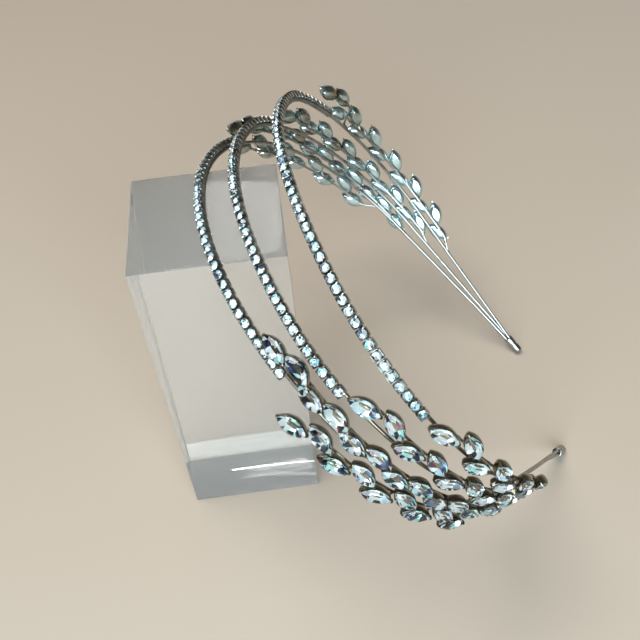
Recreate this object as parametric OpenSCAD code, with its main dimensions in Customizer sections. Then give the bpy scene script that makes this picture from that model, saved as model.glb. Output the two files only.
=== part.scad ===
// Headband of three wires with rhinestone cup chains and crystal leaves, leaning on a clear block.
// Millimetres, +Z up, origin at the middle of the block's foot. The near arm is on the -Y side.

/* [Block] */
// Width of the block along X
block_w = 40; // [36:1:44]
// Depth of the block along Y
block_d = 38; // [34:1:40]
// Height of the block
block_h = 102; // [98:1:102]

/* [Band] */
// Diameter of each round wire
wire_d = 1; // [0.9:0.05:1.1]
// Half the distance between the two ends of the band
end_half = 22.5; // [22:0.5:23]
// Distance of the ends from the block's middle, along X
ends_x = 99; // [98:0.5:104]
// Distance of the band's middle from the block's middle, along Y
ends_y = 3.5; // [2:0.5:5]
// Turn of the band about the vertical
band_turn = 3.5; // [2:0.5:5]

/* [Sleeves] */
// Outer diameter of the crimped sleeve on each end
sleeve_d = 3; // [2.9:0.1:3.2]
// Length of a sleeve
sleeve_l = 6; // [5:0.5:7]

/* [Cup chain] */
// Distance between stones, measured on the wire
chain_pitch = 2.8; // [2.8:0.05:3]
// Outer diameter of a cup
cup_d = 2.7; // [2.5:0.05:2.7]
// Height of a cup
cup_h = 1.7; // [1.5:0.1:1.9]

/* [Leaves] */
// Length of a leaf setting
leaf_l = 8.6; // [8:0.1:8.6]
// Width of a leaf setting
leaf_w = 4.4; // [4.1:0.1:4.4]
// Height of a leaf setting
leaf_h = 2.5; // [2.2:0.1:2.6]
// Height of a leaf's rim above the middle of its wire
rim_h = 4; // [3.8:0.1:4.4]

/* [Hidden] */

// Wires from front to rear: the lean of the wire's plane from the floor, the radius and sweep of its
// crown, shoulder and arm arcs from the top down, and the number of stones in its cup chain
FRONT = 0;
MIDDLE = 1;
REAR = 2;
LEAN = 0;
STONES = 7;
WIRES = [
  //lean, crown r, sweep, shoulder r, sweep, arm r, sweep, stones
  [56.5, 77, 31, 47, 21, 56.5, 71, 54],
  [50.5, 76, 31, 49, 19, 57, 73, 44],
  [46.5, 65.6, 31, 77.4, 16, 55.5, 76, 37]
];

// The two arms
near = 1;
far = -1;

// Rows of leaves: the wire and the arm that carry the row, the stations of the first and last leaf,
// the number of leaves, the row's distance to the front of the wire at its first and last leaf, half
// the distance between its two files, and the turn of the leaves in the front and rear files
LEAF_ROWS = [
  //wire, arm, first, last, count, first side, last side, stagger, front turn, rear turn
  [FRONT, near, 80.5, 126.5, 8, 2.8, 2.2, 1.7, -17, 20],
  [MIDDLE, near, 66, 137, 11, 4.3, 2, 1.2, -18, 20],
  [REAR, near, 46, 125, 13, 4.55, 1.2, 0.9, -5, -2],
  [REAR, near, 61, 111, 9, -3.9, -3, 1.5, -11, 16],
  [FRONT, far, 69, 75.5, 2, 5.1, 5.3, 0.6, -12, 6],
  [FRONT, far, 80, 137.5, 11, 2.6, 2.3, 1.6, -20, 23],
  [MIDDLE, far, 66.5, 132.5, 12, 3, 1.3, 1.2, -16, 11],
  [REAR, far, 46, 129, 13, 4.6, 0.1, 0.8, -11, 4],
  [REAR, far, 62, 113.5, 9, -4.5, -3.7, 1.6, -12, 15]
];

gap = 0.1;
cup_wall = 0.17;
cup_floor = 0.4;
link_w = 0.9;
link_h = 0.3;
leaf_wall = 0.3;
leaf_floor = 0.7;
leaf_corners = 12;
stem_d = 0.8;
stem_sink = 0.2;
sleeve_wall = 0.25;
sleeve_over = 0.5;
bend_l = 24;
knot_swell = 0.04;
bundle = wire_d + 0.15;

chain_z = wire_d / 2 + gap;
degrees_per_radian = 180 / PI;

// Bow of a wire: a point in its plane is its distance across, its height and its heading below level
function arc_end(p, r, sweep) =
  [p[0] + r * (sin(p[2] + sweep) - sin(p[2])), p[1] + r * (cos(p[2] + sweep) - cos(p[2])), p[2] + sweep];
function arc_length(r, sweep) = r * sweep / degrees_per_radian;
function knot(w, n) = n == 0 ? [0, 0, 0] : arc_end(knot(w, n - 1), WIRES[w][2 * n - 1], WIRES[w][2 * n]);
function knot_station(w, n) =
  n == 0 ? 0 : knot_station(w, n - 1) + arc_length(WIRES[w][2 * n - 1], WIRES[w][2 * n]);
function straight(w) = (end_half - knot(w, 3)[0]) / cos(knot(w, 3)[2]);
function half_length(w) = knot_station(w, 3) + straight(w);
function bow_height(w) = straight(w) * sin(knot(w, 3)[2]) - knot(w, 3)[1];
function spot(w, s, n = 1) =
  n < 4 && s > knot_station(w, n) ? spot(w, s, n + 1) :
  let (k = knot(w, n - 1), l = s - knot_station(w, n - 1))
  n == 4 ? [k[0] + l * cos(k[2]), k[1] - l * sin(k[2]), k[2]] :
  let (r = WIRES[w][2 * n - 1]) arc_end(k, r, l / r * degrees_per_radian);

// Station frames: the point, then the ways down the arm, to the front and outwards. Stations are
// distances along the wire from its top, positive on the near arm and negative on the far arm.
across = [sin(band_turn), -cos(band_turn), 0];
sleeve_dip = sin(knot(MIDDLE, 3)[2]) * sin(WIRES[MIDDLE][LEAN]);
ends_z = sleeve_over * sleeve_dip + sleeve_d / 2 * sqrt(1 - sleeve_dip * sleeve_dip);
function rise(w) =
  let (lean = WIRES[w][LEAN]) [-cos(lean) * cos(band_turn), -cos(lean) * sin(band_turn), sin(lean)];
function station(w, s) =
  let (arm = s < 0 ? far : near, k = spot(w, abs(s)), up = rise(w))
  [[ends_x, ends_y, ends_z] + arm * k[0] * across + (k[1] + bow_height(w)) * up,
   arm * cos(k[2]) * across - sin(k[2]) * up,
   cross(up, across),
   arm * sin(k[2]) * across + cos(k[2]) * up];
function place(frame, p) = frame[0] + p[0] * frame[1] + p[1] * frame[2] + p[2] * frame[3];

// Leaves: station, distance to the front and turn of each leaf of a row
function leaf(row, n) =
  let (f = n / (row[4] - 1), way = n % 2 == 0 ? -1 : 1)
  [row[1] * (row[2] + (row[3] - row[2]) * f), row[5] + (row[6] - row[5]) * f + way * row[7],
   way > 0 ? row[8] : row[9]];

// Sleeve ends: the three wires lie in a triangle, side by side
BUNDLE_SPOTS = [[bundle / 2, -bundle / sqrt(12)], [0, bundle / sqrt(3)], [-bundle / 2, -bundle / sqrt(12)]];
function end_frame(arm) = station(MIDDLE, arm * half_length(MIDDLE));
function in_sleeve(w, arm, back) = place(end_frame(arm), [-back, BUNDLE_SPOTS[w][0], BUNDLE_SPOTS[w][1]]);

// Solids from rings of points, each ring seen anticlockwise from the last one
function turned(face) = [for (i = [len(face) - 1 : -1 : 0]) face[i]];
function skin(rings, sides, base = 0) = concat(
  [[for (i = [0 : sides - 1]) base + i]],
  [for (j = [0 : rings - 2], i = [0 : sides - 1])
    [base + j * sides + i, base + (j + 1) * sides + i,
     base + (j + 1) * sides + (i + 1) % sides, base + j * sides + (i + 1) % sides]],
  [[for (i = [sides - 1 : -1 : 0]) base + (rings - 1) * sides + i]]);

// Cut stones: outlines and the levels of a stone, each a share of the outline and a height
function round_outline(r, sides) =
  [for (i = [0 : sides - 1]) let (a = 360 * (i + 0.5) / sides) r * [cos(a), sin(a)]];
function lens_r(l, w) = (l * l + w * w) / (4 * w);
function lens_outline(l, w, inset, sides) =
  let (r = lens_r(l, w), c = r - w / 2, t = acos(c / (r - inset)),
       half = [for (i = [0 : sides / 2 - 1]) let (a = t - 4 * t * i / sides)
         [(r - inset) * sin(a), (r - inset) * cos(a) - c]])
  concat(half, -half);
function stone_points(frame, outline, levels) =
  [for (l = levels, p = outline) place(frame, [p[0] * l[0], p[1] * l[0], l[1]])];

module stones(frames, outline, levels, flips) {
  sides = len(outline);
  rings = len(levels);
  faces = [for (k = [0 : len(frames) - 1], f = skin(rings, sides, k * rings * sides))
    flips[k] ? turned(f) : f];
  polyhedron([for (f = frames) each stone_points(f, outline, levels)], faces);
}

// Frame of a leaf: middle of its cup's foot, the way to its base, sideways and outwards
function leaf_frame(row, n) =
  let (l = leaf(row, n), f = station(row[0], l[0]))
  [place(f, [0, l[1], rim_h - leaf_h]), cos(l[2]) * f[1] + sin(l[2]) * f[2],
   cos(l[2]) * f[2] - sin(l[2]) * f[1], f[3]];

module in_plane(w) {
  translate([ends_x, ends_y, ends_z]) rotate([0, 0, band_turn - 90]) rotate([90 - WIRES[w][LEAN], 0, 0])
    translate([0, 0, bow_height(w)]) children();
}

module at_station(w, s) {
  k = spot(w, abs(s));
  in_plane(w) mirror([s < 0 ? 1 : 0, 0, 0]) translate([k[0], 0, k[1]]) rotate([0, k[2], 0]) children();
}

module rod(p, q, d) {
  v = q - p;
  translate(p) rotate([0, acos(v[2] / norm(v)), atan2(v[1], v[0])]) cylinder(h = norm(v), d = d, $fn = 24);
}

// Arc n of a wire's bow, from one heading on through a sweep, with its section drawn outwards along X
module bow_arc(w, n, start, sweep) {
  k = knot(w, n - 1);
  r = WIRES[w][2 * n - 1];
  translate([k[0] - r * sin(k[2]), 0, k[1] - r * cos(k[2])])
    rotate([90, 0, 0]) rotate([0, 0, 90 - start - sweep])
      rotate_extrude(angle = sweep, $fn = 240) translate([r, 0]) children();
}

// Rounds off a joint between two lengths of wire
module wire_knot(p) {
  translate(p) sphere(d = wire_d + knot_swell, $fn = 32);
}

module wire_tube(w) {
  in_plane(w) {
    bow_arc(w, 1, -WIRES[w][2], 2 * WIRES[w][2]) circle(d = wire_d, $fn = 24);
    for (m = [0, 1], n = [2, 3])
      mirror([m, 0, 0]) bow_arc(w, n, knot(w, n - 1)[2], WIRES[w][2 * n]) circle(d = wire_d, $fn = 24);
  }
  for (arm = [near, far]) {
    knots = [for (n = [1 : 3]) station(w, arm * knot_station(w, n))[0]];
    bends = [station(w, arm * (half_length(w) - bend_l))[0], in_sleeve(w, arm, sleeve_l)];
    rod(knots[2], bends[0], wire_d);
    rod(bends[0], bends[1], wire_d);
    rod(bends[1], in_sleeve(w, arm, gap), wire_d);
    for (p = concat(knots, bends)) wire_knot(p);
  }
}

module leaf_lens(inset, h) {
  r = lens_r(leaf_l, leaf_w);
  linear_extrude(h) intersection() {
    translate([0, r - leaf_w / 2]) circle(r = r - inset, $fn = 96);
    translate([0, leaf_w / 2 - r]) circle(r = r - inset, $fn = 96);
  }
}

module leaf_cup() {
  difference() {
    leaf_lens(0, leaf_h);
    translate([0, 0, leaf_floor]) leaf_lens(leaf_wall, leaf_h);
  }
}

module wire_with_leaves(w) {
  color("silver") union() {
    wire_tube(w);
    for (row = LEAF_ROWS) if (row[0] == w) for (n = [0 : row[4] - 1]) {
      l = leaf(row, n);
      at_station(w, l[0]) translate([0, l[1], rim_h - leaf_h]) rotate([0, 0, l[2]]) leaf_cup();
      rod(place(leaf_frame(row, n), [leaf_l * 0.3, 0, stem_sink]),
        station(w, l[0] + row[1] * leaf_l)[0], stem_d);
    }
  }
}

module front_wire() { wire_with_leaves(FRONT); }
module middle_wire() { wire_with_leaves(MIDDLE); }
module rear_wire() { wire_with_leaves(REAR); }

module sleeve(arm) {
  f = end_frame(arm);
  color("silver") difference() {
    rod(place(f, [sleeve_over - sleeve_l, 0, 0]), place(f, [sleeve_over, 0, 0]), sleeve_d);
    rod(place(f, [-2 * sleeve_l, 0, 0]), place(f, [sleeve_l, 0, 0]), sleeve_d - 2 * sleeve_wall);
  }
}

module near_sleeve() { sleeve(near); }
module far_sleeve() { sleeve(far); }

function stone_station(w, i) = (i - (WIRES[w][STONES] - 1) / 2) * chain_pitch;

module chain_cups(w) {
  last = WIRES[w][STONES] - 1;
  color("silver") difference() {
    union() {
      for (i = [0 : last])
        at_station(w, stone_station(w, i)) translate([0, 0, chain_z])
          cylinder(h = cup_h, d = cup_d, $fn = 32);
      for (i = [0 : last - 1])
        at_station(w, stone_station(w, i + 0.5)) translate([0, 0, chain_z + cup_floor / 2])
          cube([chain_pitch - cup_d + link_w, link_w, link_h], center = true);
    }
    for (i = [0 : last])
      at_station(w, stone_station(w, i)) translate([0, 0, chain_z + cup_floor])
        cylinder(h = cup_h, d = cup_d - 2 * cup_wall, $fn = 32);
  }
}

module front_chain_cups() { chain_cups(FRONT); }
module middle_chain_cups() { chain_cups(MIDDLE); }
module rear_chain_cups() { chain_cups(REAR); }

module chain_stones(w) {
  base = chain_z + cup_floor + gap;
  rim = chain_z + cup_h;
  levels = [[0.6, base], [1, rim - 0.2], [0.58, rim + 0.45]];
  count = WIRES[w][STONES];
  spots = [for (i = [0 : count - 1]) stone_station(w, i)];
  color("lightcyan") stones([for (s = spots) station(w, s)],
    round_outline(cup_d / 2 - cup_wall - gap, 8), levels, [for (s = spots) s < 0]);
}

module front_chain_stones() { chain_stones(FRONT); }
module middle_chain_stones() { chain_stones(MIDDLE); }
module rear_chain_stones() { chain_stones(REAR); }

module leaf_stones(w) {
  levels = [[0.6, leaf_floor + gap], [0.8, leaf_h], [1, leaf_h + 0.3], [0.55, leaf_h + 0.95]];
  picks = [for (row = LEAF_ROWS) if (row[0] == w) for (n = [0 : row[4] - 1]) [row, n]];
  color("azure") stones([for (p = picks) leaf_frame(p[0], p[1])],
    lens_outline(leaf_l, leaf_w, gap, leaf_corners), levels, [for (p = picks) p[0][1] == far]);
}

module front_leaf_stones() { leaf_stones(FRONT); }
module middle_leaf_stones() { leaf_stones(MIDDLE); }
module rear_leaf_stones() { leaf_stones(REAR); }

module display_block() {
  color([0.85, 0.9, 0.92, 0.5])
    translate([-block_w / 2, -block_d / 2, 0]) cube([block_w, block_d, block_h]);
}

front_wire();
middle_wire();
rear_wire();
near_sleeve();
far_sleeve();
front_chain_cups();
middle_chain_cups();
rear_chain_cups();
front_chain_stones();
middle_chain_stones();
rear_chain_stones();
front_leaf_stones();
middle_leaf_stones();
rear_leaf_stones();
display_block();
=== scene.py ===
"""Looks of the rhinestone headband: finer wires, settings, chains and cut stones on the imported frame.

Metres in the row frame. Every stone, cup and leaf takes its place from the CAD stones' own meshes.
"""
import math

import bmesh
import bpy
import numpy as np
from mathutils import Matrix, Vector


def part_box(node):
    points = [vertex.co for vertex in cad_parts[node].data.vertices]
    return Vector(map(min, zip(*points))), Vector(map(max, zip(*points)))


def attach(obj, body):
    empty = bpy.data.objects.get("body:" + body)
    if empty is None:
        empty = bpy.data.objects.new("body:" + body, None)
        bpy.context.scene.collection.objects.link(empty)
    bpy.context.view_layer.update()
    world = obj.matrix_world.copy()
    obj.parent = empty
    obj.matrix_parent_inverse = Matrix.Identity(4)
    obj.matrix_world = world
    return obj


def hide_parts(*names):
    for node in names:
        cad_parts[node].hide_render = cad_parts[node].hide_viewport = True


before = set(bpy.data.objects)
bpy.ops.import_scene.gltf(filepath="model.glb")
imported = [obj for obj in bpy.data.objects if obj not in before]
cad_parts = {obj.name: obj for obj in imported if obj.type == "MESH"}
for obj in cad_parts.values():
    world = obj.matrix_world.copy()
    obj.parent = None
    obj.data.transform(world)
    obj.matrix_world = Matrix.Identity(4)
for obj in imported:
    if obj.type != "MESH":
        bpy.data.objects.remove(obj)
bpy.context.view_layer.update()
MM = 0.001


def add_object(name, data):
    made = bpy.data.objects.new(name, data)
    bpy.context.scene.collection.objects.link(made)
    return made


# ---------------------------------------------------------------- camera
CAMERA_AT = Vector((21.6, -182.0, 250.0)) * MM
CAMERA_RIGHT = Vector((0.9916, -0.1065, -0.0738))
CAMERA_AHEAD = Vector((0.0197, 0.6868, -0.7263))
SENSOR_WIDTH = 36
FOCAL_PER_WIDTH = 896 / 640   # both in pixels


def add_camera():
    data = bpy.data.cameras.new("camera")
    data.sensor_fit = "HORIZONTAL"
    data.sensor_width = SENSOR_WIDTH
    data.lens = SENSOR_WIDTH * FOCAL_PER_WIDTH
    data.clip_start, data.clip_end = 0.01, 20
    camera = add_object("camera", data)
    back = -CAMERA_AHEAD.normalized()
    right = (CAMERA_RIGHT - CAMERA_RIGHT.dot(back) * back).normalized()
    turn = Matrix((right, back.cross(right), back)).transposed()
    camera.matrix_world = Matrix.Translation(CAMERA_AT) @ turn.to_4x4()
    bpy.context.scene.camera = camera


add_camera()


# ---------------------------------------------------------------- meshes
def smooth(mesh, angle):
    """Smooth shading, with edges kept sharp from an angle in degrees"""
    mesh.shade_smooth()
    mesh.set_sharp_from_angle(angle=math.radians(angle))


class Shape:
    """Points and faces of one piece, gathered from rings of points"""

    def __init__(self):
        self.points, self.faces, self.tones, self.second = [], [], {}, set()

    def ring(self, points):
        start = len(self.points)
        self.points.extend(np.asarray(points, float))
        return list(range(start, len(self.points)))

    def band(self, low, high):
        n = len(low)
        for i in range(n):
            self.faces.append((low[i], low[(i + 1) % n], high[(i + 1) % n], high[i]))

    def zigzag(self, low, high):
        """Triangles between two rings, the upper one turned half a step on"""
        n = len(low)
        for i in range(n):
            self.faces.append((low[i], low[(i + 1) % n], high[i]))
            self.faces.append((low[(i + 1) % n], high[(i + 1) % n], high[i]))

    def loft(self, rings):
        """Skin over a row of rings, closed at both ends"""
        made = [self.ring(r) for r in rings]
        for low, high in zip(made, made[1:]):
            self.band(low, high)
        self.faces.append(tuple(reversed(made[0])))
        self.faces.append(tuple(made[-1]))

    def foil(self, points, tone):
        """A face on the foiled back of a stone, in one of the tones of painted reflection"""
        self.tones[len(self.faces)] = REFLECTION_TONE_AT[tone]
        self.second.add(len(self.faces))
        self.faces.append(points)

    def second_finish(self):
        """Gives every face made so far the piece's second material"""
        self.second.update(range(len(self.faces)))

    def piece(self, name, materials, slot, nodes, smooth_angle=None):
        mesh = bpy.data.meshes.new(name)
        mesh.from_pydata([tuple(p) for p in self.points], [], self.faces)
        for material in materials:
            mesh.materials.append(material)
        if self.tones:
            tone = mesh.attributes.new("tone", "FLOAT", "FACE")
            for i, value in self.tones.items():
                tone.data[i].value = value
        for i in self.second:
            mesh.polygons[i].material_index = 1
        bm = bmesh.new()
        bm.from_mesh(mesh)
        bmesh.ops.recalc_face_normals(bm, faces=bm.faces)
        bm.to_mesh(mesh)
        bm.free()
        if smooth_angle:
            smooth(mesh, smooth_angle)
        obj = add_object(name, mesh)
        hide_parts(*nodes)
        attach(obj, "root")


def unit(v):
    return v / np.linalg.norm(v)


def turns(sides, start=0.0):
    """Angles of evenly spread corners, the first one at a share of a step"""
    return (np.arange(sides) + start) * 2 * math.pi / sides


ODD_WAY = (0.31, 0.52, 0.79)  # no tube that is given no way across runs along this


def tube(shape, path, radii, sides, across=None):
    """A round tube along a path, with one radius for each of its points"""
    path = np.asarray(path, float)
    ways = np.gradient(path, axis=0)
    side = np.cross(ways[0], ODD_WAY) if across is None else across
    rings = []
    for p, way, r in zip(path, ways, radii):
        t = unit(way)
        side = unit(side - side.dot(t) * t)
        up = np.cross(t, side)
        rings.append([p + r * (math.cos(a) * side + math.sin(a) * up) for a in turns(sides)])
    shape.loft(rings)


BEAD_SIDES, BEAD_RINGS = 8, 5


def bead(shape, centre, radius):
    """A small ball of solder"""
    stack = []
    for j in range(BEAD_RINGS):
        tilt = math.pi * (j + 0.5) / BEAD_RINGS
        stack.append([centre + radius * np.array((math.sin(tilt) * math.cos(a), math.sin(tilt) * math.sin(a),
                                                  math.cos(tilt)))
                      for a in turns(BEAD_SIDES)])
    shape.loft(stack)


# ---------------------------------------------------------------- frames of the stones
WELD = 2e-6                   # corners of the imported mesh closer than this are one
SAME_WAY = 0.9995             # cosine between normals of one facet's triangles
GIRDLE_BAND = 1e-4            # corners this near to the girdle's height lie on it


def loose_parts(node):
    """Corners, and the normal and area of each triangle, of every stone of a node"""
    bm = bmesh.new()
    bm.from_mesh(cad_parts[node].data)
    bmesh.ops.remove_doubles(bm, verts=bm.verts, dist=WELD)
    bm.verts.index_update()
    left, parts = set(bm.faces), []
    for seed in bm.faces:
        if seed not in left:
            continue
        part, stack = [], [seed]
        left.discard(seed)
        while stack:
            face = stack.pop()
            part.append(face)
            for edge in face.edges:
                for other in edge.link_faces:
                    if other in left:
                        left.discard(other)
                        stack.append(other)
        corners = sorted({v for f in part for v in f.verts}, key=lambda v: v.index)
        normals = [(np.array(f.normal), f.calc_area()) for f in part]
        parts.append((np.array([v.co for v in corners]), normals))
    bm.free()
    return parts


def stone_frame(points, normals):
    """Middle of the girdle, long way, cross way, way up, half length and half width of one CAD stone"""
    groups = []
    for normal, area in normals:
        for g in groups:
            if g[0].dot(normal) > SAME_WAY:
                g[1] += area
                break
        else:
            groups.append([normal, area])
    up = unit(max(groups, key=lambda g: g[1])[0])
    heights = points @ up
    flat = points - np.outer(heights, up)
    reach = np.linalg.norm(flat - flat.mean(0), axis=1)
    girdle = heights[reach.argmax()]
    if heights.max() - girdle > girdle - heights.min():
        up, heights, girdle = -up, -heights, -girdle
    ring = points[np.abs(heights - girdle) < GIRDLE_BAND]
    centre = ring.mean(0)
    spread = ring - centre
    long_way = unit(spread[np.linalg.norm(spread, axis=1).argmax()])
    cross_way = np.cross(up, long_way)
    return {"at": centre, "long": long_way, "cross": cross_way, "up": up,
            "half_l": np.abs(spread @ long_way).max(), "half_w": np.abs(spread @ cross_way).max()}


def stone_frames(node):
    frames = [stone_frame(*part) for part in loose_parts(node)]
    return sorted(frames, key=lambda f: [round(c, 5) for c in f["at"]])


# ---------------------------------------------------------------- wires, as in the part's source, in millimetres
END_HALF = 22.5               # from the middle of the band's foot to either end
BAND_TURN = math.radians(3.5)
WIRE_D = 1.0
WIRE_STEP = 1.5
BEND_L = 24.0                 # from a wire's end to where it leaves its own plane for the sleeve
SLEEVE_L = 6.0
SLEEVE_R = 1.5
SLEEVE_PAST = 0.5             # how far the sleeves reach past the wires' ends
BUNDLE = WIRE_D + 0.15        # distance between the wires in a sleeve
# lean of the wire's plane, then the radius and sweep of its crown, shoulder and arm arcs
BOWS = {
    "front": (56.5, ((77.0, 31.0), (47.0, 21.0), (56.5, 71.0))),
    "middle": (50.5, ((76.0, 31.0), (49.0, 19.0), (57.0, 73.0))),
    "rear": (46.5, ((65.6, 31.0), (77.4, 16.0), (55.5, 76.0))),
}
# place of each wire in the sleeves, to the front and out
BUNDLE_SPOTS = {"front": (BUNDLE / 2, -BUNDLE / math.sqrt(12)), "middle": (0.0, BUNDLE / math.sqrt(3)),
                "rear": (-BUNDLE / 2, -BUNDLE / math.sqrt(12))}
ACROSS = np.array((math.sin(BAND_TURN), -math.cos(BAND_TURN), 0.0))


class Wire:
    """The bow of one wire: points along it, in millimetres from its top, positive on the near arm"""

    def __init__(self, name):
        self.name = name
        lean, arcs = BOWS[name]
        lean = math.radians(lean)
        self.rise = np.array((-math.cos(lean) * math.cos(BAND_TURN), -math.cos(lean) * math.sin(BAND_TURN),
                              math.sin(lean)))
        self.front = np.cross(self.rise, ACROSS)
        self.knots = [(0.0, 0.0, 0.0, 0.0)]
        self.radii = [r for r, _ in arcs]
        for r, sweep in arcs:
            x, z, a, s = self.knots[-1]
            b = a + math.radians(sweep)
            self.knots.append((x + r * (math.sin(b) - math.sin(a)), z + r * (math.cos(b) - math.cos(a)), b,
                               s + r * math.radians(sweep)))
        x, z, a, s = self.knots[-1]
        straight = (END_HALF - x) / math.cos(a)
        self.half_length = s + straight
        self.height = straight * math.sin(a) - z

    def spot(self, s):
        """Place on the bow's plane, and slope, at a distance from the top"""
        for n, r in enumerate(self.radii):
            x, z, a, start = self.knots[n]
            if s <= self.knots[n + 1][3]:
                b = a + (s - start) / r
                return x + r * (math.sin(b) - math.sin(a)), z + r * (math.cos(b) - math.cos(a)), b
        x, z, a, start = self.knots[-1]
        return x + (s - start) * math.cos(a), z - (s - start) * math.sin(a), a

    def station(self, s):
        """Point, way down the arm, way to the front and way out, at a distance from the top"""
        arm = -1 if s < 0 else 1
        x, z, a = self.spot(abs(s))
        return (ENDS + arm * x * ACROSS + (z + self.height) * self.rise,
                arm * math.cos(a) * ACROSS - math.sin(a) * self.rise, self.front,
                arm * math.sin(a) * ACROSS + math.cos(a) * self.rise)


def ends_height():
    """How high the middle wire's ends lie, with the sleeves' lower edges on the floor"""
    dip = math.sin(Wire("middle").knots[-1][2]) * math.sin(math.radians(BOWS["middle"][0]))
    return SLEEVE_PAST * dip + SLEEVE_R * math.sqrt(1 - dip * dip)


ENDS = np.array((99.0, 3.5, ends_height()))
WIRES = {name: Wire(name) for name in BOWS}


def band_end(arm):
    """Point and ways of the middle wire at its end on one arm"""
    return WIRES["middle"].station(arm * WIRES["middle"].half_length)


def in_sleeve(name, arm, back):
    at, down, front, out = band_end(arm)
    spot = BUNDLE_SPOTS[name]
    return at - back * down + spot[0] * front + spot[1] * out


def wire_path(name):
    """Middle line of a wire, from the middle of one sleeve to the middle of the other"""
    wire = WIRES[name]
    reach = wire.half_length - BEND_L
    count = int(math.ceil(reach / WIRE_STEP))
    path = [in_sleeve(name, -1, back) for back in (SLEEVE_L / 2, SLEEVE_L)]
    path += [wire.station(s)[0] for s in np.linspace(-reach, reach, 2 * count + 1)]
    path += [in_sleeve(name, 1, back) for back in (SLEEVE_L, SLEEVE_L / 2)]
    return np.array(path) * MM


# ---------------------------------------------------------------- materials
def new_material(name):
    material = bpy.data.materials.new(name)
    material.use_nodes = True
    tree = material.node_tree
    return material, tree, tree.nodes["Principled BSDF"]


def add_node(tree, kind, **inputs):
    made = tree.nodes.new(kind)
    for key, value in inputs.items():
        made.inputs[key.replace("_", " ")].default_value = value
    return made


def ramp(tree, stops, constant=False):
    made = tree.nodes.new("ShaderNodeValToRGB")
    made.color_ramp.interpolation = "CONSTANT" if constant else "LINEAR"
    cells = made.color_ramp.elements
    while len(cells) < len(stops):
        cells.new(0.5)
    for cell, (at, colour) in zip(cells, stops):
        cell.position = at
        cell.color = (*colour, 1)
    return made


def clouds(tree, scale, detail):
    """Noise that is fixed to the piece, and the coordinates that it follows"""
    place = tree.nodes.new("ShaderNodeTexCoord")
    made = add_node(tree, "ShaderNodeTexNoise", Scale=scale, Detail=detail)
    tree.links.new(place.outputs["Object"], made.inputs["Vector"])
    return made, place


def wear(tree, shader, cloud, smoothest, roughest):
    """Roughness that changes with the clouds"""
    made = add_node(tree, "ShaderNodeMapRange", To_Min=smoothest, To_Max=roughest)
    tree.links.new(cloud.outputs["Fac"], made.inputs["Value"])
    tree.links.new(made.outputs["Result"], shader.inputs["Roughness"])


PAINTED_LIGHT_WAY = (0, 6, -8)       # painted reflection and shade: brighter towards the far arm and duller up the band, for each metre
PAINTED_LIGHT_START = 0.3            # how much brighter than its clouds the painted reflection makes a metal at the frame's origin


def metal_material(name, colour, dull, roughness, painted_light=0.0):
    """Polished metal with dull clouds, and painted reflection and shade that make it brighter towards the far arm
    and duller up the band and on the near arm
    """
    material, tree, shader = new_material(name)
    shader.inputs["Metallic"].default_value = 1
    cloud, place = clouds(tree, 260.0, 4.0)
    # painted reflection and shade: a slope across the piece, added to the clouds
    slope = tree.nodes.new("ShaderNodeVectorMath")
    slope.operation = "DOT_PRODUCT"
    slope.inputs[1].default_value = [way * painted_light for way in PAINTED_LIGHT_WAY]
    tree.links.new(place.outputs["Object"], slope.inputs[0])
    total = tree.nodes.new("ShaderNodeMath")
    total.operation = "ADD"
    tree.links.new(slope.outputs["Value"], total.inputs[0])
    tree.links.new(cloud.outputs["Fac"], total.inputs[1])
    lift = add_node(tree, "ShaderNodeMapRange", From_Min=-PAINTED_LIGHT_START * painted_light,
                    From_Max=1 - PAINTED_LIGHT_START * painted_light)
    lift.clamp = False
    tree.links.new(total.outputs["Value"], lift.inputs["Value"])
    tint = ramp(tree, [(0.35, dull), (0.65, colour)])
    tree.links.new(lift.outputs["Result"], tint.inputs["Fac"])
    tree.links.new(tint.outputs["Color"], shader.inputs["Base Color"])
    wear(tree, shader, cloud, *roughness)
    grain, _ = clouds(tree, 2600.0, 2.0)
    bump = add_node(tree, "ShaderNodeBump", Strength=0.12, Distance=0.00004)
    tree.links.new(grain.outputs["Fac"], bump.inputs["Height"])
    tree.links.new(bump.outputs["Normal"], shader.inputs["Normal"])
    return material


def clear_material(name, colour, transmission, ior, cloud_scale, cloud_detail, roughest):
    """Glass or clear plastic with a breath of wear"""
    material, tree, shader = new_material(name)
    shader.inputs["Base Color"].default_value = (*colour, 1)
    shader.inputs["Transmission Weight"].default_value = transmission
    shader.inputs["IOR"].default_value = ior
    cloud, _ = clouds(tree, cloud_scale, cloud_detail)
    wear(tree, shader, cloud, 0.0, roughest)
    return material


def painted_reflection_foil_material(name, stops):
    """Mirror foil on the back of a stone, each facet in its own tone of painted reflection"""
    material, tree, shader = new_material(name)
    shader.inputs["Metallic"].default_value = 0.45
    shader.inputs["Roughness"].default_value = 0.14
    facet = tree.nodes.new("ShaderNodeAttribute")
    facet.attribute_name = "tone"
    tone = ramp(tree, stops, constant=True)
    tree.links.new(facet.outputs["Fac"], tone.inputs["Fac"])
    tree.links.new(tone.outputs["Color"], shader.inputs["Base Color"])
    return material


# the silver's bright end is cyan as a painted reflection of the cool window; its dull end is olive, as tarnish and
# as a painted reflection of the warm floor
SILVER = metal_material("polished_silver", (0.58, 0.75, 0.78), (0.25, 0.235, 0.185), (0.14, 0.32), 0.7)
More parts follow.
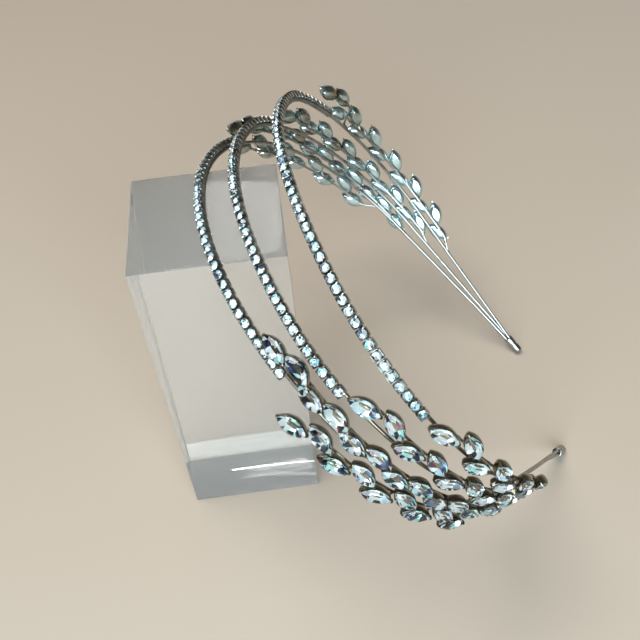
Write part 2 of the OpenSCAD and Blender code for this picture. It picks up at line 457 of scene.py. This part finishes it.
# a darker copy of the silver for the wires, twigs, stems and sleeves: its darkness is painted shade
SHADED_WIRE_METAL = metal_material("wire_silver_painted_darker", (0.34, 0.35, 0.34), (0.21, 0.195, 0.155), (0.20, 0.38), 0.7)
CHAIN_METAL = metal_material("chain_silver", (0.48, 0.51, 0.50), (0.17, 0.175, 0.165), (0.08, 0.24))
CRYSTAL = clear_material("clear_crystal", (0.97, 0.99, 1.0), 1.0, 1.56, 900.0, 2.0, 0.03)
ACRYLIC = clear_material("acrylic_clear", (0.88, 0.89, 0.885), 0.91, 1.49, 35.0, 3.0, 0.05)
# tones of painted reflection on the foil: the dark ones for dark surroundings, the pale ones for the cool window
# and its highlights
REFLECTION_TONES = {"black": (0.008, 0.01, 0.016), "navy": (0.015, 0.035, 0.10), "blue": (0.10, 0.20, 0.36),
         "maroon": (0.15, 0.035, 0.055), "grey": (0.22, 0.32, 0.38), "aqua": (0.50, 0.95, 0.90),
         "ice": (0.74, 0.95, 1.0), "white": (0.94, 1.0, 1.0)}
REFLECTION_TONE_AT = {name: (i + 0.5) / len(REFLECTION_TONES) for i, name in enumerate(REFLECTION_TONES)}
FOIL_PAINTED_REFLECTIONS = painted_reflection_foil_material("crystal_foil_painted_reflections", [(i / len(REFLECTION_TONES), colour) for i, colour in enumerate(REFLECTION_TONES.values())])


# ---------------------------------------------------------------- cut stones
# tiers of corners: height from the girdle in millimetres, and share of the girdle's outline
LEAF_KEEL, LEAF_MIDDLE, LEAF_LOW = (-1.7, 0.30), (-1.05, 0.60), (-0.10, 0.97)
LEAF_GIRDLE, LEAF_TABLE = (0.08, 0.99), (0.70, 0.60)
CHAIN_CULET, CHAIN_MIDDLE, CHAIN_LOW = (-0.95, 0.0), (-0.62, 0.62), (-0.08, 0.97)
CHAIN_GIRDLE, CHAIN_TABLE = (0.06, 1.0), (0.52, 0.60)
CHAIN_STONE_R = 1.22
FACETS = 8                    # main facets round a stone
KEEL_SIDES = (1, 5)           # main facets of a leaf stone that run on to the keel's other end
# odds of each tone of painted reflection, on the main facets and on the small ones beside the girdle
LEAF_MAIN = {"white": 0.50, "ice": 0.28, "aqua": 0.16, "grey": 0.06}
LEAF_EDGE = {"black": 0.26, "navy": 0.12, "maroon": 0.08, "white": 0.30, "ice": 0.14, "aqua": 0.10}
CHAIN_MAIN = {"white": 0.48, "ice": 0.22, "aqua": 0.12, "blue": 0.08, "black": 0.10}
CHAIN_EDGE = {"white": 0.22, "ice": 0.16, "aqua": 0.10, "blue": 0.12, "navy": 0.14, "black": 0.26}
# where a leaf stone's darkest main facet, a painted dark reflection, may lie, and the tones of it and of those
# some steps on
LEAF_DARK_AT = (0, 3, 4, 7)
LEAF_DARK = ((0, ("navy", "black")), (1, ("blue", "navy", "white")), (3, ("black", "white")),
             (5, ("maroon", "black", "white")))


def lens_outline(half_l, half_w, sides):
    """Pointed oval of two arcs, with its corners spread evenly along them"""
    r = (half_l * half_l + half_w * half_w) / (2 * half_w)
    reach = math.asin(half_l / r)
    points = []
    for i in range(sides):
        t = i / sides * 4
        way = 1 if t < 2 else -1
        a = reach * (1 - (t % 2)) * way
        points.append((r * math.sin(a), way * (r * math.cos(a) - (r - half_w))))
    return np.array(points)


def round_outline(r, sides, start=0.0):
    a = turns(sides, start)
    return np.stack([r * np.cos(a), r * np.sin(a)], axis=1)


def placed(f, flat, height, share=1.0):
    """Points of a flat outline, shrunk by a share, at a height from a stone's girdle"""
    return [f["at"] + p[0] * share * f["long"] + p[1] * share * f["cross"] + height * f["up"] for p in flat]


def tier(shape, f, outline, cut):
    height, share = cut
    return shape.ring(placed(f, outline, height * MM, share))


def deal(chance, odds, count):
    return list(chance.choice(list(odds), count, p=list(odds.values())))


def leaf_stone(shape, f, chance):
    """Navette cut: foiled pavilion with a keel, girdle, crown facets and a table"""
    corners = 2 * FACETS
    l, w = f["half_l"], f["half_w"]
    even, inner = lens_outline(l, w, corners), lens_outline(l, w, FACETS)
    keel = tier(shape, f, [(l, 0), (-l, 0)], LEAF_KEEL)
    middle = tier(shape, f, inner, LEAF_MIDDLE)
    low = tier(shape, f, even, LEAF_LOW)
    main = deal(chance, LEAF_MAIN, FACETS)
    dark = chance.choice(LEAF_DARK_AT)
    for steps, pool in LEAF_DARK:
        main[(dark + steps) % FACETS] = chance.choice(pool)
    for k in range(FACETS):
        a, b, c = (low[(2 * k + j) % corners] for j in range(3))
        here, ahead = middle[k], middle[(k + 1) % FACETS]
        edge = deal(chance, LEAF_EDGE, 3)
        shape.foil((b, a, here), edge[0])
        shape.foil((b, here, ahead), main[k] if edge[1] != "black" else "black")
        shape.foil((c, b, ahead), edge[2])
        end, other = keel if even[2 * k + 1][0] > 0 else reversed(keel)
        shape.foil((here, ahead, end), main[k])
        if k in KEEL_SIDES:
            shape.foil((ahead, other, end), main[k])
    girdle = tier(shape, f, even, LEAF_GIRDLE)
    table = tier(shape, f, inner, LEAF_TABLE)
    shape.band(low, girdle)
    for k in range(FACETS):
        a, b, c = (girdle[(2 * k + j) % corners] for j in range(3))
        here, ahead = table[k], table[(k + 1) % FACETS]
        shape.faces += [(a, b, here), (b, ahead, here), (b, c, ahead)]
    shape.faces.append(tuple(table))


def chain_stone(shape, f, chance):
    """Round brilliant of eight-fold cut, with a foiled pavilion"""
    radius = CHAIN_STONE_R * MM
    even, odd = round_outline(radius, FACETS), round_outline(radius, FACETS, 0.5)
    culet, = tier(shape, f, [(0, 0)], CHAIN_CULET)
    middle = tier(shape, f, odd, CHAIN_MIDDLE)
    low = tier(shape, f, even, CHAIN_LOW)
    main = deal(chance, CHAIN_MAIN, FACETS)
    edge = deal(chance, CHAIN_EDGE, 2 * FACETS)
    for i in range(FACETS):
        ahead = (i + 1) % FACETS
        shape.foil((middle[ahead], middle[i], culet), main[i])
        shape.foil((low[ahead], low[i], middle[i]), edge[i])
        shape.foil((low[ahead], middle[i], middle[ahead]), edge[FACETS + i])
    girdle = tier(shape, f, even, CHAIN_GIRDLE)
    table = tier(shape, f, odd, CHAIN_TABLE)
    shape.band(low, girdle)
    shape.zigzag(girdle, table)
    shape.faces.append(tuple(table))


# ---------------------------------------------------------------- settings
LEAF_DEEP = 2.8 * MM          # from the girdle of a leaf stone down to its cup's foot
RIM = -0.3 * MM               # height of the cup's rim, seen from the girdle
CUP_GROWTH = (1.033, 1.05)    # length and width of a cup, against its stone's
CUP_SIDES = 24
# share of the cup's outline, and millimetres from its foot outside and from its rim inside
CUP_OUTSIDE = [(0.30, 0.00), (0.55, 0.06), (0.76, 0.28), (0.90, 0.72), (0.97, 1.3), (1.0, 1.9), (1.0, 2.45)]
CUP_INSIDE = [(0.985, 0.0), (0.955, 0.0), (0.925, -0.12), (0.86, -1.2)]
# share of the stone's half length, height from the girdle and radius in millimetres
LEAF_CLAW = [(1.02, -0.9, 0.26), (1.025, -0.2, 0.26), (0.99, 0.14, 0.24), (0.90, 0.30, 0.12)]
CHAIN_CUP_HALF, CHAIN_CUP_CORNER = 1.33 * MM, 0.55 * MM
# share of the outline and height from the girdle in millimetres, up the outside and down the inside
CHAIN_CUP = [(0.78, -1.55), (0.95, -1.48), (1.0, -1.3), (1.0, -0.10), (0.98, -0.04), (0.93, -0.04),
             (0.90, -0.14), (0.84, -0.9)]
# distance from the cup's middle, height from the girdle and radius in millimetres
CHAIN_CLAW = [(1.42, -1.0, 0.24), (1.46, -0.05, 0.26), (1.38, 0.26, 0.26), (1.10, 0.40, 0.20)]
LINK_R, LINK_DEEP, LINK_AT = 0.42, 1.2, (0.3, 0.5, 0.7)


def leaf_cup(shape, f):
    """Boat-shaped cup with a rim"""
    outline = lens_outline(f["half_l"] * CUP_GROWTH[0], f["half_w"] * CUP_GROWTH[1], CUP_SIDES)
    shape.loft([placed(f, outline, -LEAF_DEEP + h * MM, s) for s, h in CUP_OUTSIDE]
               + [placed(f, outline, RIM + h * MM, s) for s, h in CUP_INSIDE])


def leaf_claws(shape, f):
    """A short claw folded over each point of the stone"""
    for end in (-1, 1):
        path = [placed(f, [(end * f["half_l"] * k, 0)], h * MM)[0] for k, h, _ in LEAF_CLAW]
        tube(shape, path, [r * MM for _, _, r in LEAF_CLAW], sides=8)


def square_outline(half, corner):
    """Square with rounded corners"""
    steps = 4
    points = []
    for q, (x, y) in enumerate(((1, 1), (-1, 1), (-1, -1), (1, -1))):
        for i in range(steps + 1):
            a = math.pi / 2 * (q + i / steps)
            points.append(((half - corner) * x + corner * math.cos(a), (half - corner) * y + corner * math.sin(a)))
    return np.array(points)


def chain_cup(shape, f):
    """Low square cup with a claw at each corner, the chain's way along f["long"]"""
    outline = square_outline(CHAIN_CUP_HALF, CHAIN_CUP_CORNER)
    shape.loft([placed(f, outline, h * MM, s) for s, h in CHAIN_CUP])
    for a in (45, 135, 225, 315):
        corner = [(math.cos(math.radians(a)), math.sin(math.radians(a)))]
        path = [placed(f, corner, h * MM, away * MM)[0] for away, h, _ in CHAIN_CLAW]
        tube(shape, path, [r * MM for _, _, r in CHAIN_CLAW], sides=6)


def curve(start, bend, end, count):
    t = np.linspace(0, 1, count)[:, None]
    return (1 - t) ** 2 * start + 2 * t * (1 - t) * bend + t ** 2 * end


# ---------------------------------------------------------------- rows of leaves, in millimetres
REAR_ROW_SIDE = -1.3          # the rear wire's leaves further back than this are a row of their own
FRONT_ROW_TOP = 78            # the front wire's leaves nearer to its top than this are a row of their own
TWIG_R, TWIG_STEP = 0.36, 1.2
TWIG_FROM, TWIG_TO = 3.0, 1.5  # where a twig starts and starts to come in, down the arm from its end leaves
TWIG_IN = 7.0                 # how long it takes a twig to come in to its wire
TWIG_OUT, TWIG_SINK = 1.05, 0.35  # how far out of the wire a twig lies, and how far it sinks to its foot
TWIG_BEAD_R = 0.6
STEM_R, STEM_BEAD_R, STEM_POINTS = 0.34, 0.46, 6
STEM_AT = (0.70, 0.75)        # its start on the cup: share of the half length, and height from the cup's foot
STEM_DOWN, STEM_BOW = 2.2, 0.5


def leaf_rows(leaves, wire):
    """Leaves of one wire sorted into its rows, each from the top down: (arm, [(station, side, frame)])"""
    stations = np.linspace(-wire.half_length, wire.half_length, 1200)
    points = np.array([wire.station(s)[0] for s in stations]) * MM
    rows = {}
    for f in leaves:
        s = stations[np.linalg.norm(points - f["at"], axis=1).argmin()]
        at, down, front, _ = wire.station(s)
        side = (f["at"] / MM - at) @ front
        if f["long"].dot(down) < 0:
            f["long"], f["cross"] = -f["long"], -f["cross"]
        apart = side < REAR_ROW_SIDE if wire.name == "rear" else abs(s) < FRONT_ROW_TOP and wire.name == "front"
        rows.setdefault((1 if s > 0 else -1, apart), []).append((abs(s), side, f))
    return [(arm, sorted(row, key=lambda leaf: leaf[0])) for (arm, _), row in rows.items()]


def twig(shape, wire, arm, row):
    """Thin wire under a row of leaves, soldered to the band below the last leaf, with a stem to each base"""
    sides = np.polyfit([s for s, _, _ in row], [side for _, side, _ in row], 1)
    first, last = row[0][0] + TWIG_FROM, row[-1][0] + TWIG_TO
    path = []
    for s in np.arange(first, last + TWIG_IN, TWIG_STEP):
        at, _, front, out = wire.station(arm * s)
        k = max(0.0, (s - last) / TWIG_IN)
        away = np.polyval(sides, s) * (1 - k * k * (3 - 2 * k))
        path.append((at + away * front + (TWIG_OUT - TWIG_SINK * k) * out) * MM)
    path = np.array(path)
    tube(shape, path, [TWIG_R * MM] * len(path), sides=8)
    bead(shape, path[-1], TWIG_BEAD_R * MM)
    for s, _, f in row:
        start = placed(f, [(f["half_l"] * STEM_AT[0], 0)], -LEAF_DEEP + STEM_AT[1] * MM)[0]
        down = wire.station(arm * s)[1]
        foot = path[np.linalg.norm(path - start - STEM_DOWN * MM * down, axis=1).argmin()]
        bend = (start + foot) / 2 + STEM_BOW * MM * f["long"]
        tube(shape, curve(start, bend, foot, STEM_POINTS), [STEM_R * MM] * STEM_POINTS, sides=6)
        bead(shape, foot, STEM_BEAD_R * MM)


# ---------------------------------------------------------------- pieces
CHANCE = np.random.default_rng(7)


def build_wire(name):
    wire = WIRES[name]
    leaves = stone_frames(f"{name}_leaf_stones")
    stones, metal = Shape(), Shape()
    path = wire_path(name)
    tube(metal, path, [WIRE_D / 2 * MM] * len(path), sides=12, across=wire.front)
    for arm, row in leaf_rows(leaves, wire):
        twig(metal, wire, arm, row)
    # the wires and twigs take the darker copy of the silver, as painted shade
    metal.second_finish()
    for f in leaves:
        leaf_cup(metal, f)
        leaf_claws(metal, f)
        leaf_stone(stones, f, CHANCE)
    metal.piece(f"{name}_wire_and_settings", [SILVER, SHADED_WIRE_METAL], "metal", [f"{name}_wire"], 35)
    stones.piece(f"{name}_leaf_stones_cut", [CRYSTAL, FOIL_PAINTED_REFLECTIONS], "leaf_crystal", [f"{name}_leaf_stones"])


def build_chain(name):
    frames = sorted(stone_frames(f"{name}_chain_stones"), key=lambda f: f["at"] @ ACROSS)
    for i, f in enumerate(frames):
        ahead = frames[min(i + 1, len(frames) - 1)]["at"] - frames[max(i - 1, 0)]["at"]
        f["long"] = unit(ahead - ahead.dot(f["up"]) * f["up"])
        f["cross"] = np.cross(f["up"], f["long"])
    cups, stones = Shape(), Shape()
    for f in frames:
        chain_cup(cups, f)
        chain_stone(stones, f, CHANCE)
    for pair in zip(frames, frames[1:]):
        start, end = (f["at"] - LINK_DEEP * MM * f["up"] for f in pair)
        tube(cups, [start * (1 - k) + end * k for k in LINK_AT], [LINK_R * MM] * len(LINK_AT), sides=8)
    cups.piece(f"{name}_chain_cups_clawed", [CHAIN_METAL], "metal", [f"{name}_chain_cups"], 40)
    stones.piece(f"{name}_chain_stones_cut", [CRYSTAL, FOIL_PAINTED_REFLECTIONS], "chain_crystal", [f"{name}_chain_stones"])


for wire_name in BOWS:
    build_wire(wire_name)
    build_chain(wire_name)

# distance back from the wires' ends, and radius, in millimetres
SLEEVE_PROFILE = [(-0.50, 1.30), (-0.50, 1.42), (-0.36, 1.50), (0.9, 1.50), (1.5, 1.40), (2.1, 1.36), (2.7, 1.40),
                  (3.3, 1.50), (5.30, 1.50), (5.46, 1.44), (5.50, 1.32), (5.44, 1.25), (-0.44, 1.25)]
SLEEVE_SIDES = 32


def build_sleeve(name, arm):
    """Thin tube with a shallow crimp round it and softened lips"""
    shape = Shape()
    at, down, front, out = band_end(arm)
    rings = []
    for back, r in SLEEVE_PROFILE:
        ring = [at - back * down + r * (math.cos(a) * front + math.sin(a) * out) for a in turns(SLEEVE_SIDES)]
        rings.append(shape.ring([p * MM for p in ring]))
    for low, high in zip(rings, rings[1:] + rings[:1]):
        shape.band(low, high)
    # the sleeve takes the darker copy of the silver, as painted shade
    shape.piece(name + "_crimped", [SHADED_WIRE_METAL], "metal", [name], 50)


build_sleeve("near_sleeve", 1)
build_sleeve("far_sleeve", -1)

BLOCK_BEVEL = 0.45 * MM


def bevelled_block():
    low, high = (np.array(c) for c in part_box("display_block"))
    bm = bmesh.new()
    bmesh.ops.create_cube(bm, size=1.0)
    for v in bm.verts:
        v.co = Vector((low + high) / 2) + Vector(np.array(v.co) * (high - low))
    bmesh.ops.bevel(bm, geom=bm.edges[:], offset=BLOCK_BEVEL, segments=3, profile=0.5, affect="EDGES")
    mesh = bpy.data.meshes.new("acrylic_block")
    bm.to_mesh(mesh)
    bm.free()
    smooth(mesh, 20)
    mesh.materials.append(ACRYLIC)
    block = add_object("acrylic_block", mesh)
    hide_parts("display_block")
    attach(block, "root")


bevelled_block()


# ---------------------------------------------------------------- floor and light
FLOOR_HALF = 1.2
FLOOR_Z = -5e-5               # a hair below the block's foot, so that no two faces share a plane


def add_floor():
    mesh = bpy.data.meshes.new("floor")
    mesh.from_pydata([(x * FLOOR_HALF, y * FLOOR_HALF, FLOOR_Z) for x, y in ((-1, -1), (1, -1), (1, 1), (-1, 1))],
                     [], [(0, 1, 2, 3)])
    floor = add_object("floor", mesh)
    material, tree, shader = new_material("floor_pale")
    shader.inputs["Roughness"].default_value = 0.7
    cloud = add_node(tree, "ShaderNodeTexNoise", Scale=3.0, Detail=3.0)
    tint = ramp(tree, [(0.35, (0.36, 0.305, 0.25)), (0.65, (0.375, 0.34, 0.30))])
    tree.links.new(cloud.outputs["Fac"], tint.inputs["Fac"])
    tree.links.new(tint.outputs["Color"], shader.inputs["Base Color"])
    mesh.materials.append(material)


def add_light(name, at, target, size, power, colour):
    data = bpy.data.lights.new(name, "AREA")
    data.shape = "RECTANGLE"
    data.size, data.size_y = size
    data.energy = power
    data.color = colour
    light = add_object(name, data)
    light.location = at
    light.rotation_euler = (Vector(target) - Vector(at)).to_track_quat("-Z", "Y").to_euler()


def add_room():
    """Warm and brightest low down, cooler and dim overhead"""
    world = bpy.data.worlds.new("room")
    bpy.context.scene.world = world
    world.use_nodes = True
    tree = world.node_tree
    way = tree.nodes.new("ShaderNodeTexCoord")
    part = tree.nodes.new("ShaderNodeSeparateXYZ")
    tree.links.new(way.outputs["Generated"], part.inputs["Vector"])
    sky = ramp(tree, [(0.0, (0.42, 0.36, 0.30)), (0.3, (0.22, 0.20, 0.19)), (0.7, (0.10, 0.095, 0.10))])
    tree.links.new(part.outputs["Z"], sky.inputs["Fac"])
    tree.links.new(sky.outputs["Color"], tree.nodes["Background"].inputs["Color"])
    tree.nodes["Background"].inputs["Strength"].default_value = 0.6


add_floor()
add_light("key", (-0.35, 0.0, 1.60), (0.04, 0.06, 0.05), (1.1, 1.1), 31.0, (1.0, 0.97, 0.92))
add_light("window", (0.0, -0.95, 0.45), (0.04, 0, 0.05), (1.1, 0.7), 24.0, (0.78, 0.93, 1.0))
add_room()
bpy.context.scene.view_settings.view_transform = "Standard"
